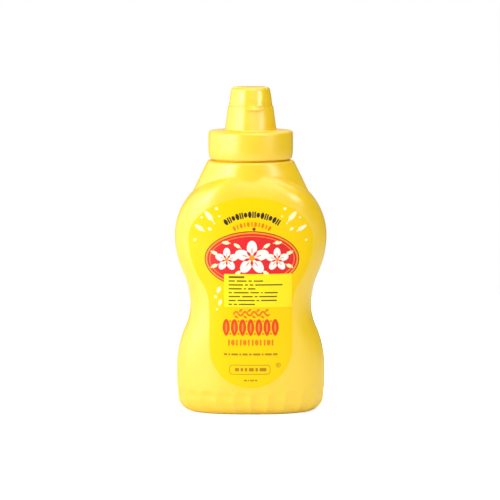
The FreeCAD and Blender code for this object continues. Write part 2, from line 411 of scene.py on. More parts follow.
def make_mould_grain() -> bpy.types.NodeTree:
    """Makes the group for moulded plastic: faint waves, fine pores and uneven gloss.

    Returns:
        The group, with the outputs Colour, Roughness and Normal.
    """
    group, given, result = new_group("mould_grain", ("Waves", "Pores", "Unevenness"))
    add = Sockets(group)
    where = add.node("ShaderNodeTexCoord").outputs["Object"]
    waves = add.noise(where, 70.0, 1.0)
    pores = add.noise(where, 1900.0, 2.0)
    clouds = add.noise(where, 45.0, 3.0)

    wave_bump = add.bump(given.outputs["Waves"], waves, 0.1 * MM)
    pore_bump = add.bump(given.outputs["Pores"], pores, 0.01 * MM)
    add.link(wave_bump.outputs["Normal"], pore_bump.inputs["Normal"])
    add.link(pore_bump.outputs["Normal"], result.inputs["Normal"])

    change = add.remap(clouds, -0.04, 0.04)
    gloss = add.maths("MULTIPLY_ADD", change, given.outputs["Unevenness"], given.outputs["Roughness"])
    add.link(gloss.outputs[0], result.inputs["Roughness"])

    shade = add.node("ShaderNodeHueSaturation")
    add.link(given.outputs["Colour"], shade.inputs["Color"])
    add.link(add.remap(clouds, 0.985, 1.015), shade.inputs["Value"])
    add.link(shade.outputs["Color"], result.inputs["Colour"])
    return group


def make_ink_lay() -> bpy.types.NodeTree:
    """Makes the group for printed film: a faint mottle of the ink and a fine film texture.

    Returns:
        The group, with the outputs Colour, Roughness and Normal.
    """
    group, given, result = new_group("ink_lay", ("Mottle", "Texture"))
    add = Sockets(group)
    where = add.node("ShaderNodeTexCoord").outputs["Object"]
    mottle = add.noise(where, 900.0, 3.0)
    film = add.noise(where, 140.0, 2.0)

    shade = add.node("ShaderNodeHueSaturation")
    change = add.maths("MULTIPLY_ADD", add.remap(mottle, -0.05, 0.05), given.outputs["Mottle"])
    change.inputs[2].default_value = 1.0
    add.link(change.outputs[0], shade.inputs["Value"])
    add.link(given.outputs["Colour"], shade.inputs["Color"])
    add.link(shade.outputs["Color"], result.inputs["Colour"])

    gloss = add.maths("ADD", add.remap(mottle, -0.03, 0.03), given.outputs["Roughness"])
    add.link(gloss.outputs[0], result.inputs["Roughness"])

    bump = add.bump(given.outputs["Texture"], film, 0.05 * MM)
    add.link(bump.outputs["Normal"], result.inputs["Normal"])
    return group


# ---------------------------------------------------------------- finishes


def finish_material(
    name: str,
    group: bpy.types.NodeTree,
    values: Dict[str, object],
    shader_values: Dict[str, object],
) -> bpy.types.Material:
    """Makes a material whose colour, roughness and normal come from one group.

    Args:
        name: name of the material.
        group: the node group that feeds the shader.
        values: values of the group's inputs.
        shader_values: values of the shader's own sockets.

    Returns:
        The material.
    """
    material = bpy.data.materials.new(name)
    material.use_nodes = True
    shader = material.node_tree.nodes["Principled BSDF"]
    for key, value in shader_values.items():
        shader.inputs[key].default_value = value
    add = Sockets(material.node_tree)
    effect = add.node("ShaderNodeGroup", node_tree=group)
    for key, value in values.items():
        effect.inputs[key].default_value = value
    add.link(effect.outputs["Colour"], shader.inputs["Base Color"])
    add.link(effect.outputs["Roughness"], shader.inputs["Roughness"])
    add.link(effect.outputs["Normal"], shader.inputs["Normal"])
    material.diffuse_color = values["Colour"]
    return material


@dataclass(frozen=True)
class PlasticFinish:
    """A moulded plastic."""

    name: str
    colour: Tuple[float, float, float, float]
    roughness: float
    waves: float
    pores: float
    unevenness: float
    shine: float = 0.95

    def make(self, grain: bpy.types.NodeTree) -> bpy.types.Material:
        """Makes the material from the moulding group."""
        values = {
            "Colour": self.colour,
            "Roughness": self.roughness,
            "Waves": self.waves,
            "Pores": self.pores,
            "Unevenness": self.unevenness,
        }
        shader_values = {
            "IOR": 1.6,
            "Specular IOR Level": self.shine,
        }
        return finish_material(self.name, grain, values, shader_values)


@dataclass(frozen=True)
class InkFinish:
    """A printed ink, or the film that it is printed on."""

    name: str
    colour: Tuple[float, float, float, float]
    roughness: float = 0.38
    mottle: float = 1.0
    texture: float = 0.25
    shine: float = 0.4

    def make(self, lay: bpy.types.NodeTree) -> bpy.types.Material:
        """Makes the material from the ink group."""
        values = {
            "Colour": self.colour,
            "Roughness": self.roughness,
            "Mottle": self.mottle,
            "Texture": self.texture,
        }
        shader_values = {"IOR": 1.48, "Specular IOR Level": self.shine}
        return finish_material(self.name, lay, values, shader_values)


BODY_PLASTIC = PlasticFinish("body_plastic", tint(251, 209, 5), 0.34, 0.30, 0.35, 1.0)
CLOSURE_PLASTIC = PlasticFinish("closure_plastic", tint(251, 208, 9), 0.36, 0.06, 0.45, 0.8)
LID_PLASTIC = PlasticFinish("lid_plastic", tint(251, 210, 11), 0.30, 0.06, 0.30, 0.8)
LABEL_FILM = InkFinish("label_film", tint(249, 206, 0), 0.30, 0.12, 0.2, 0.2)
STICKER_FILM = InkFinish("sticker_film", tint(253, 226, 4), 0.5, 0.4, 0.3)
RED_INK = InkFinish("red_ink", tint(226, 34, 40), 0.34)
DEEP_RED_INK = InkFinish("deep_red_ink", tint(150, 14, 22), 0.36)
PALE_RED_INK = InkFinish("pale_red_ink", tint(240, 150, 140), 0.4)
GOLD_INK = InkFinish("gold_ink", tint(252, 150, 28), 0.34)
WHITE_INK = InkFinish("white_ink", tint(247, 244, 232), 0.4)
CREAM_INK = InkFinish("cream_ink", tint(252, 243, 190), 0.4)
DARK_INK = InkFinish("dark_ink", tint(46, 36, 20), 0.4)
ORANGE_INK = InkFinish("orange_ink", tint(228, 122, 6), 0.38)
RED_ORANGE_INK = InkFinish("red_orange_ink", tint(226, 72, 8), 0.36)
OCHRE_INK = InkFinish("ochre_ink", tint(178, 124, 4), 0.4)
GREY_INK = InkFinish("sticker_grey_ink", tint(96, 84, 12), 0.5)


# ---------------------------------------------------------------- the bottle


@dataclass
class Bottle:
    """The body, shoulder, neck and base in one wrapped surface."""

    width: float
    depth: float
    rim_height: float
    lower_lobe: Point = (21.5 * MM, 36.5 * MM)
    waist: Point = (53.0 * MM, 29.8 * MM)
    upper_lobe_height: float = 87.0 * MM
    lower_share: float = 0.65
    upper_share: float = 0.54
    lobe_squareness: float = 2.15
    waist_squareness: float = 2.6
    crown_squareness: float = 3.7
    crown_radius: float = 30.0 * MM
    crown_depth_start: float = 104.0 * MM
    crown_depth_radius: float = 40.0 * MM
    shoulder_foot: float = 100.0 * MM
    shoulder_width_tuck: float = 4.8 * MM
    shoulder_depth_tuck: float = 1.0 * MM
    shoulder_top_radius: float = 21.1 * MM
    shoulder_edge: float = 0.8 * MM
    neck_radius: float = 17.8 * MM
    neck_showing: float = 0.9 * MM
    crease_blend: float = 0.22 * MM
    heel_radius: float = 7.5 * MM
    heel_tuck: float = 0.9 * MM
    heel_steps: int = 14
    flutes: int = 22
    flute_columns: int = 12
    flute_top: float = 12.6 * MM
    flute_run_out: float = 3.4 * MM
    flute_arch: float = 1.4 * MM
    flute_depth: float = 0.78 * MM
    base_ring: float = 6.0 * MM
    base_recess: float = 1.0 * MM
    row_spacing: float = 1.1 * MM
    crease_rows: Point = (97.0 * MM, 115.0 * MM)
    crease_row_spacing: float = 0.45 * MM
    flute_places: Dict[float, float] = field(default_factory=dict)

    def half_width(self, height: float) -> float:
        """Half width of the body, without its heel and shoulder."""
        upper = (self.upper_lobe_height, self.width / 2)
        if height < self.lower_lobe[0]:
            below = 1 - height / self.lower_lobe[0]
            return self.lower_lobe[1] - self.heel_tuck * below ** 2
        if height < self.waist[0]:
            return tangent_arcs(height, self.lower_lobe, self.waist, self.lower_share)
        if height < upper[0]:
            return tangent_arcs(height, upper, self.waist, self.upper_share)
        return upper[1] - sagitta(self.crown_radius, height - upper[0])

    def half_depth(self, height: float) -> float:
        """Half depth of the body, which is straight up to its crown."""
        above = max(height - self.crown_depth_start, 0.0)
        return self.depth / 2 - sagitta(self.crown_depth_radius, above)

    def squareness(self, height: float) -> float:
        """Exponent of the body's oval, which is squarer at the waist and in the crown."""
        if height < self.lower_lobe[0]:
            return self.lobe_squareness
        if height > self.upper_lobe_height:
            rise = (height - self.upper_lobe_height) / (self.crown_radius * 0.8)
            return self.lobe_squareness + (self.crown_squareness - self.lobe_squareness) * rise ** 1.5
        lobe = self.lower_lobe[1] if height < self.waist[0] else self.width / 2
        narrowing = (lobe - self.half_width(height)) / (lobe - self.waist[1])
        return self.lobe_squareness + (self.waist_squareness - self.lobe_squareness) * narrowing

    def shoulder_reach(self, angle: float, height: float) -> float:
        """Reach of the oval cone that turns round towards its top."""
        top = self.rim_height - self.neck_showing
        share = (height - self.shoulder_foot) / (top - self.shoulder_foot)
        foot_width = self.width / 2 - self.shoulder_width_tuck
        foot_depth = self.depth / 2 - self.shoulder_depth_tuck
        half_width = foot_width + (self.shoulder_top_radius - foot_width) * share
        half_depth = foot_depth + (self.shoulder_top_radius - foot_depth) * share
        return oval_reach(angle, half_width, half_depth, 2.0)

    def flute(self, angle: float, height: float) -> float:
        """Depth of the heel's shallow flutes, which are arched at their tops."""
        across = 2 * self.flute_places[angle] - 1
        top = self.flute_top - self.flute_arch * across ** 2
        share = min(max((top - height) / self.flute_run_out, 0.0), 1.0)
        fade = min(height / (1.5 * MM), 1.0)
        return self.flute_depth * (1 - across ** 2) * share * share * (3 - 2 * share) * fade

    def reach(self, angle: float, height: float, tuck: float = 0.0) -> float:
        """Reach of the finished surface in one direction.

        Args:
            angle: direction from the axis.
            height: height above the base.
            tuck: how far the heel or an edge draws the surface in.

        Returns:
            Distance from the axis.
        """
        body = 0.0
        if height < self.upper_lobe_height + self.crown_radius:
            body = oval_reach(
                angle, self.half_width(height), self.half_depth(height), self.squareness(height)
            )
        if height > self.shoulder_foot:
            body = larger(body, self.shoulder_reach(angle, height), self.crease_blend)
        return body - tuck - self.flute(angle, height)

    def spread_angles(self) -> List[float]:
        """Spaces the columns evenly round the heel, as its flutes are.

        Returns:
            The direction of each column. A ridge between two flutes faces the front.
        """
        steps = 3600
        height = self.flute_top
        ring = []
        for step in range(steps + 1):
            angle = 2 * math.pi * step / steps
            reach = oval_reach(
                angle, self.half_width(height), self.half_depth(height), self.lobe_squareness
            )
            ring.append(Vector((math.cos(angle), math.sin(angle))) * reach)
        travelled = [0.0]
        for start, end in zip(ring, ring[1:]):
            travelled.append(travelled[-1] + (end - start).length)
        columns = self.flutes * self.flute_columns
        angles = []
        step = 0
        for column in range(columns):
            target = travelled[-1] * column / columns
            while travelled[step + 1] < target:
                step += 1
            part = (target - travelled[step]) / (travelled[step + 1] - travelled[step])
            angle = 2 * math.pi * (step + part) / steps
            angles.append(angle)
            place = (column + self.flute_columns // 2) % self.flute_columns
            self.flute_places[angle] = place / self.flute_columns
        return angles

    def row_heights(self, low: float, high: float) -> List[float]:
        """Lists the rows' heights, which lie closer together where the crease runs."""
        heights = [low]
        while heights[-1] < high:
            creased = self.crease_rows[0] < heights[-1] < self.crease_rows[1]
            fluted = heights[-1] < self.flute_top + 1.0 * MM
            spacing = self.crease_row_spacing if creased or fluted else self.row_spacing
            heights.append(heights[-1] + spacing)
        heights[-1] = high
        return heights

    def rows(self) -> List[Callable[[float], Vector]]:
        """Lists the surface's rows from the base's middle up to the neck's rim.

        Returns:
            A function for each row, which turns a direction into a place.
        """
        rows = []
        base_steps = (
            (self.base_ring + 1.2 * MM, self.base_recess),
            (self.base_ring + 0.5 * MM, self.base_recess * 0.85),
            (self.base_ring - 0.4 * MM, self.base_recess * 0.15),
            (self.base_ring - 1.0 * MM, 0.0),
        )
        for inset, height in base_steps:
            half_width = self.half_width(0) - self.heel_radius - inset
            half_depth = self.half_depth(0) - self.heel_radius - inset
            reach = partial(
                oval_reach, half_width=half_width, half_depth=half_depth, squareness=2.0
            )
            rows.append(row_at(height, reach))
        levels = []
        for step in range(self.heel_steps):
            turn = 0.5 * math.pi * step / self.heel_steps
            height, tuck = 1 - math.cos(turn), 1 - math.sin(turn)
            levels.append((self.heel_radius * height, self.heel_radius * tuck))
        top = self.rim_height - self.neck_showing
        edge_foot = top - self.shoulder_edge
        levels += [(height, 0.0) for height in self.row_heights(self.heel_radius, edge_foot)]
        for radius_in, rise in arc_points((0.0, 0.0), self.shoulder_edge, 0, 90, 5)[1:]:
            levels.append((edge_foot + rise, self.shoulder_edge - radius_in))
        for height, tuck in levels:
            rows.append(row_at(height, partial(self.reach, height=height, tuck=tuck)))
        neck_steps = (
            (self.neck_radius + 0.2 * MM, top),
            (self.neck_radius, top + 0.2 * MM),
            (self.neck_radius, self.rim_height),
        )
        for radius, height in neck_steps:
            rows.append(row_at(height, lambda _angle, radius=radius: radius))
        return rows

    def build(self) -> bpy.types.Object:
        """Builds the bottle's surface.

        Returns:
            The closed piece.
        """
        piece = wrapped("bottle_body", self.spread_angles(), self.rows())
        smooth(piece, 50.0)
        return piece

    def dress(self, piece: bpy.types.Object, material: bpy.types.Material) -> None:
        """Gives the bottle its plastic and lets it stand for its node."""
        piece.data.materials.append(material)
        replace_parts(piece, "bottle")
        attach(piece, "root")


# ---------------------------------------------------------------- closure and lid


@dataclass
class Closure:
    """The collar and its conical spout, turned in one piece."""

    foot: float
    top: float
    collar_radius: float
    collar_height: float = 13.7 * MM
    foot_round: float = 5.0 * MM
    foot_tuck: float = 0.7 * MM
    foot_edge: float = 0.3 * MM
    top_edge: float = 1.4 * MM
    spout_foot_radius: float = 12.7 * MM
    spout_top_radius: float = 11.1 * MM
    fillet: float = 1.1 * MM
    rim_edge: float = 0.15 * MM

    def profile(self) -> List[Point]:
        """Lists the half profile from the foot's middle up to the spout's top."""
        full = self.collar_radius
        collar_top = self.foot + self.collar_height
        points = [(full * 0.05, self.foot), (full - self.foot_tuck - self.foot_edge, self.foot)]
        side_radius = (self.foot_round ** 2 + self.foot_tuck ** 2) / (2 * self.foot_tuck)
        draw_in = self.foot + self.foot_round
        steps = 8
        for step in range(steps + 1):
            height = self.foot + self.foot_edge + (self.foot_round - self.foot_edge) * step / steps
            points.append((full - sagitta(side_radius, draw_in - height), height))
        points.append((full, collar_top - self.top_edge - 4.5 * MM))
        edge = self.top_edge
        points += arc_points((full - edge, collar_top - edge), edge, 0, 90, 8)
        slope = math.atan2(self.spout_foot_radius - self.spout_top_radius, self.top - collar_top)
        # The fillet is an arc that touches the collar's top and the spout's leaning side.
        reach = self.fillet * math.tan(math.pi / 4 - slope / 2)
        centre = (self.spout_foot_radius + reach, collar_top + self.fillet)
        points += arc_points(centre, self.fillet, 270, 180 + math.degrees(slope), 7)
        shoulder = (self.spout_top_radius - self.rim_edge, self.top - self.rim_edge)
        points += arc_points(shoulder, self.rim_edge, math.degrees(slope), 90, 4)
        points.append((self.spout_top_radius * 0.05, self.top))
        return points

    def build(self) -> bpy.types.Object:
        """Builds the closure."""
        piece = turned("closure_collar_and_spout", self.profile())
        smooth(piece, 35.0)
        return piece

    def dress(self, piece: bpy.types.Object, material: bpy.types.Material) -> None:
        """Gives the closure its plastic and lets it stand for its node."""
        piece.data.materials.append(material)
        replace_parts(piece, "closure")
        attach(piece, "root")


@dataclass
class Lid:
    """The shut flip lid, a tapered cap whose thumb tab hangs a little over the spout."""

    low: float
    top: float
    spout_radius: float = 11.1 * MM
    spout_slope: float = 0.132
    foot_radius: float = 10.65 * MM
    top_radius: float = 9.6 * MM
    top_edge: float = 1.9 * MM
    foot_edge: float = 0.1 * MM
    tab_half_width: float = 4.8 * MM
    tab_reach: float = 1.2 * MM
    tab_hang: float = 1.8 * MM
    tab_height: float = 2.5 * MM
    tab_taper: float = 1.0 * MM
    tab_edge: float = 0.3 * MM
    tab_top_edge: float = 0.9 * MM
    tab_clearance: float = 0.06 * MM
    turn: float = 11.0

    def cap(self) -> bpy.types.Object:
        """Turns the cap, with a rounded top."""
        foot = self.low + self.tab_hang
        edge = self.foot_edge
        points = [(0.5 * MM, foot), (0.6 * self.foot_radius, foot)]
        points += arc_points((self.foot_radius - edge, foot + edge), edge, 270, 360, 3)
        middle = (self.foot_radius + self.top_radius) / 2
        points.append((middle, (foot + self.top) / 2))
        edge = self.top_edge
        points += arc_points((self.top_radius - edge, self.top - edge), edge, 0, 90, 12)
        points += [(0.5 * self.top_radius, self.top), (0.5 * MM, self.top)]
        return turned("flip_lid", points)

    def tab(self) -> bpy.types.Object:
        """Turns the tab's disc, sets it forward and cuts it clear of the spout."""
        behind = self.spout_radius + self.spout_slope * self.tab_hang
        tip = behind + self.tab_reach
        reach = tip - math.sqrt(behind ** 2 - self.tab_half_width ** 2)
        disc = (self.tab_half_width ** 2 + reach ** 2) / (2 * reach)
        tab_top = self.low + self.tab_height
        high = disc - self.tab_taper
        points = [(0.5 * MM, self.low)]
        edge = self.tab_edge
        points += arc_points((disc - edge, self.low + edge), edge, 270, 360, 4)
        edge = self.tab_top_edge
        points += arc_points((high - edge, tab_top - edge), edge, 10, 90, 7)
        points.append((0.5 * MM, tab_top))
        tab = turned("thumb_tab", points, 192)
        bpy.ops.transform.translate(value=(0, disc - tip, 0))
        settle(tab)
        below = self.low - 1.0 * MM
        core_radius = self.spout_radius + self.tab_clearance
        foot = self.low + self.tab_hang
        wide = core_radius + self.spout_slope * (foot - below)
        core = turned("spout_space", [(wide, below), (core_radius, foot)])
        apply_modifier(tab, "BOOLEAN", operation="DIFFERENCE", solver="EXACT", object=core)
        bpy.data.objects.remove(core)
        return tab

    def build(self) -> bpy.types.Object:
        """Builds the lid: the cap and its tab in one, turned to the tab's side."""
        cap, tab = self.cap(), self.tab()
        apply_modifier(cap, "BOOLEAN", operation="UNION", solver="EXACT", object=tab)
        bpy.data.objects.remove(tab)
        cap.rotation_euler = (0.0, 0.0, math.radians(self.turn))
        settle(cap)
        smooth(cap, 35.0)
        return cap

    def dress(self, piece: bpy.types.Object, material: bpy.types.Material) -> None:
        """Gives the lid its plastic and lets it stand for its node."""
        piece.data.materials.append(material)
        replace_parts(piece, "lid")
        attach(piece, "root")


# ---------------------------------------------------------------- films and print


@dataclass
class Drape:
    """Cuts flat artwork into slices and lays it on the bottle as a thin film."""

    bottle: bpy.types.Object
    column_spacing: float = 1.4 * MM
    row_spacing: float = 6.0 * MM

    def slice(self, art: bpy.types.Object) -> None:
        """Bisects flat artwork into columns and rows, so that it can bend."""
        corners = [Vector(corner) for corner in art.bound_box]
        low_x, high_x = min(c.x for c in corners), max(c.x for c in corners)
        low_z, high_z = min(c.z for c in corners), max(c.z for c in corners)
        edit(art)
        for axis, low, high, spacing in (
            (0, low_x, high_x, self.column_spacing),
            (2, low_z, high_z, self.row_spacing),
        ):
            normal = Vector((1, 0, 0)) if axis == 0 else Vector((0, 0, 1))
            for step in range(math.ceil(low / spacing), math.floor(high / spacing) + 1):
                select_mesh()
                bpy.ops.mesh.bisect(plane_co=normal * step * spacing, plane_no=normal)
        leave_edit()

    def lay(
        self, art: bpy.types.Object, lift: float, thickness: float, side: Side
    ) -> bpy.types.Object:
        """Lays flat artwork on the bottle.

        Args:
            art: the artwork, flat in the XZ plane through the axis.
            lift: how far its outer face lies off the bottle.
            thickness: thickness of the film.
            side: the side of the bottle.

        Returns:
            The same object, bent to the bottle.
        """
        self.slice(art)
        pick(art)
        far = self.bottle.dimensions.y
        bpy.ops.transform.translate(value=(0, side.value * far, 0))
        settle(art)
        apply_modifier(
            art,
            "SHRINKWRAP",
            target=self.bottle,
            wrap_method="PROJECT",
            wrap_mode="ABOVE_SURFACE",
            use_project_x=False,
            use_project_y=True,
            use_project_z=False,
            use_negative_direction=side is Side.BACK,
            use_positive_direction=side is Side.FRONT,
            offset=lift,
        )
        self.face_out(art, side)
        apply_modifier(art, "SOLIDIFY", thickness=thickness, offset=-1.0)
        smooth(art, 30.0)
        return art

    def face_out(self, art: bpy.types.Object, side: Side) -> None:
        """Turns the faces of a film away from the bottle, and merges its doubles."""
        edit(art, "FACE")
        select_mesh()
        bpy.ops.mesh.remove_doubles(threshold=0.002 * MM)
        select_mesh("DESELECT")
        mesh = bmesh.from_edit_mesh(art.data)
        for face in mesh.faces:
            face.select_set(face.normal.y * side.value < 0)
        bpy.ops.mesh.flip_normals()
        leave_edit()


class Artwork:
    """Flat shapes of one ink, drawn in the XZ plane."""

    def __init__(self, name: str) -> None:
        """Starts with no shapes."""
        self.name = name
        self.shapes: List[bpy.types.Object] = []

    def keep(self, width: float, height: float, centre: Point, turn: float) -> None:
        """Sizes, turns and places the new shape, and stands it up."""
        shape = bpy.context.object
        shape.scale = (width, height, 1.0)
        settle(shape)
        shape.rotation_euler = (math.pi / 2, 0.0, 0.0)
        settle(shape)
        shape.rotation_euler = (0.0, math.radians(turn), 0.0)
        shape.location = (centre[0], 0.0, centre[1])
        settle(shape)
        self.shapes.append(shape)

    def disc(self, sides: int) -> bpy.types.Object:
        """Starts a round shape of unit size."""
        deselect_all()
        bpy.ops.mesh.primitive_circle_add(vertices=sides, radius=0.5, fill_type="NGON")
        return bpy.context.object

    def plate(self, width: float, height: float, radius: float, steps: int) -> bpy.types.Object:
        """Starts a rectangle with rounded corners."""
        deselect_all()
        bpy.ops.mesh.primitive_plane_add(size=1.0)
        shape = bpy.context.object
        shape.scale = (width, height, 1.0)
        settle(shape)
        edit(shape)
        select_mesh()
        bpy.ops.mesh.bevel(offset=radius, segments=steps, affect="VERTICES", profile=0.5)
        leave_edit()
        return shape

    def oval(
        self, centre: Point, width: float, height: float, turn: float = 0.0, sides: int = 24
    ) -> None:
        """Adds an oval.

        Args:
            centre: its middle.
            width, height: its size.
            turn: degrees clockwise, seen from the front.
            sides: how many sides it has.
        """
        self.disc(sides)
        self.keep(width, height, centre, turn)

    def bar(
        self, centre: Point, width: float, height: float, turn: float = 0.0, round_ends: float = 0.3
    ) -> None:
        """Adds a bar with rounded corners.

        Args:
            centre: its middle.
            width, height: its size.
            turn: degrees clockwise, seen from the front.
            round_ends: corner radius as a share of the shorter side.
        """
        self.plate(width, height, round_ends * min(width, height), 3)
        self.keep(1.0, 1.0, centre, turn)

    def leaf(
        self, centre: Point, length: float, width: float, turn: float, taper: float
    ) -> None:
        """Adds a leaf or petal: an oval that narrows towards its foot.

        Args:
            centre: its middle.
            length, width: its size, the length standing up before it is turned.
            turn: degrees clockwise, seen from the front.
            taper: how narrow the foot is, as a share of the width.
        """
        mesh = edit(self.disc(20))
        for vertex in mesh.verts:
            vertex.select_set(vertex.co.y < -0.2)
        mesh.select_flush(True)
        bpy.ops.transform.resize(value=(taper, 1.0, 1.0), center_override=(0, 0, 0))
        leave_edit()
        self.keep(width, length, centre, turn)

    def ring(self, centre: Point, width: float, height: float, line: float, sides: int) -> None:
        """Adds an oval outline.

        Args:
            centre: its middle.
            width, height: its outer size.
            line: thickness of the line.
            sides: how many sides it has.
        """
        shape = self.disc(sides)
        shape.scale = (width, height, 1.0)
        settle(shape)
        self.hollow(shape, line)
        self.keep(1.0, 1.0, centre, 0.0)

    def frame(
        self, centre: Point, width: float, height: float, line: float, radius: float
    ) -> None:
        """Adds the outline of a rounded rectangle."""
        self.hollow(self.plate(width, height, radius, 5), line)
        self.keep(1.0, 1.0, centre, 0.0)

    def hollow(self, shape: bpy.types.Object, line: float) -> None:
        """Insets a flat face and removes its middle."""
        edit(shape, "FACE")
        select_mesh()
        bpy.ops.mesh.inset(thickness=line)
        bpy.ops.mesh.delete(type="FACE")
        leave_edit()

    def strip(self, stations: Sequence[Tuple[float, float]]) -> None:
        """Adds a shape that is symmetric about X = 0, by extruding an edge upwards.

        Args:
            stations: (height, half width) from the bottom to the top.
        """
        deselect_all()
        bpy.ops.mesh.primitive_plane_add(size=1.0)
        shape = bpy.context.object
        edit(shape)
        select_mesh()
        bpy.ops.mesh.delete(type="ONLY_FACE")
        mesh = bmesh.from_edit_mesh(shape.data)
        for vertex in [v for v in mesh.verts if v.co.y > 0]:
            mesh.verts.remove(vertex)
        bmesh.update_edit_mesh(shape.data)
        first_height, first_half = stations[0]
        select_mesh()
        bpy.ops.transform.translate(value=(0, 0.5 + first_height, 0))
        bpy.ops.transform.resize(value=(2 * first_half, 1, 1), center_override=(0, first_height, 0))
        for (height, half), (next_height, next_half) in zip(stations, stations[1:]):
            bpy.ops.mesh.extrude_edges_move(
                TRANSFORM_OT_translate={"value": (0, next_height - height, 0)}
            )
            scale = next_half / half
            bpy.ops.transform.resize(value=(scale, 1, 1), center_override=(0, next_height, 0))
        leave_edit()
        self.keep(1.0, 1.0, (0.0, 0.0), 0.0)

    def finish(self) -> bpy.types.Object:
        """Joins the shapes into one object."""
        return join(self.shapes, self.name)


@dataclass
class LabelShape:
    """Outline of a label: an oval cap, drawn-in flanks and a round tail."""

    upper: Point = (86.4 * MM, 30.4 * MM)
    cap_rise: float = 20.6 * MM
    tail_half: float = 20.25 * MM
    tail_top: float = 54.0 * MM
    tail_bottom: float = 34.0 * MM
    lobe_share: float = 0.66

    def stations(self) -> List[Point]:
        """Lists (height, half width) from the tail's tip to the cap's top."""
        points = []
        for step in range(1, 13):
            turn = 0.5 * math.pi * step / 12
            across = self.tail_half * math.sin(turn)
            points.append((self.tail_bottom - self.tail_half * math.cos(turn), across))
        points.append(((self.tail_bottom + self.tail_top) / 2, self.tail_half))
        waist = (self.tail_top, self.tail_half)
        lobe_height, lobe_half = self.upper
        flank_steps = 16
        for step in range(flank_steps + 1):
            height = self.tail_top + (lobe_height - self.tail_top) * step / flank_steps
            points.append((height, tangent_arcs(height, self.upper, waist, self.lobe_share)))
        for step in range(1, 18):
            turn = 0.5 * math.pi * step / 18
            height = lobe_height + self.cap_rise * math.sin(turn)
            points.append((height, lobe_half * math.cos(turn)))
        points.append((lobe_height + self.cap_rise, lobe_half * 0.03))
        return points


def on_circle(centre: Point, radius: float, turn: float) -> Point:
    """Gives the point at a turn, in degrees clockwise from the top, on a circle."""
    way = math.radians(turn)
    return (centre[0] + radius * math.sin(way), centre[1] + radius * math.cos(way))


@dataclass
class Print:
    """What both sides' films share: the label, and inks laid over it in thin steps."""

    drape: Drape
    lay_group: bpy.types.NodeTree
    side: Side = Side.FRONT
    label_lift: float = 0.14 * MM
    ink_step: float = 0.025 * MM

    def film(
        self, art: Artwork, finish: InkFinish, lift: float, thickness: float, slot: str
    ) -> bpy.types.Object:
        """Lays finished artwork on the bottle as one film.

        Args:
            art: the artwork.
            finish: its finish.
            lift: how far its outer face lies off the bottle.
            thickness: its thickness.
            slot: not used.

        Returns:
            The piece.
        """
        piece = self.drape.lay(art.finish(), lift, thickness, self.side)
        piece.data.materials.append(finish.make(self.lay_group))
        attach(piece, "root")
        LOG.info("%s: %d faces", piece.name, len(piece.data.polygons))
        return piece

    def put(
        self, art: Artwork, level: int, ink: InkFinish, slot: str = "label_film", lift: float = 0.0
    ) -> None:
        """Prints finished artwork on the label.

        Args:
            art: the artwork.
            level: which layer of ink it is, from 1 up.
            ink: its finish.
            slot: the record's material slot.
            lift: extra height above the label, as on the sticker.
        """
        height = self.label_lift + lift + self.ink_step * level
        self.film(art, ink, height, 0.9 * self.ink_step * level, slot)

    def label(self, name: str) -> bpy.types.Object:
        """Lays the label itself."""
        art = Artwork(name)
        art.strip(LabelShape().stations())
        return self.film(art, LABEL_FILM, self.label_lift, self.label_lift, "label_film")


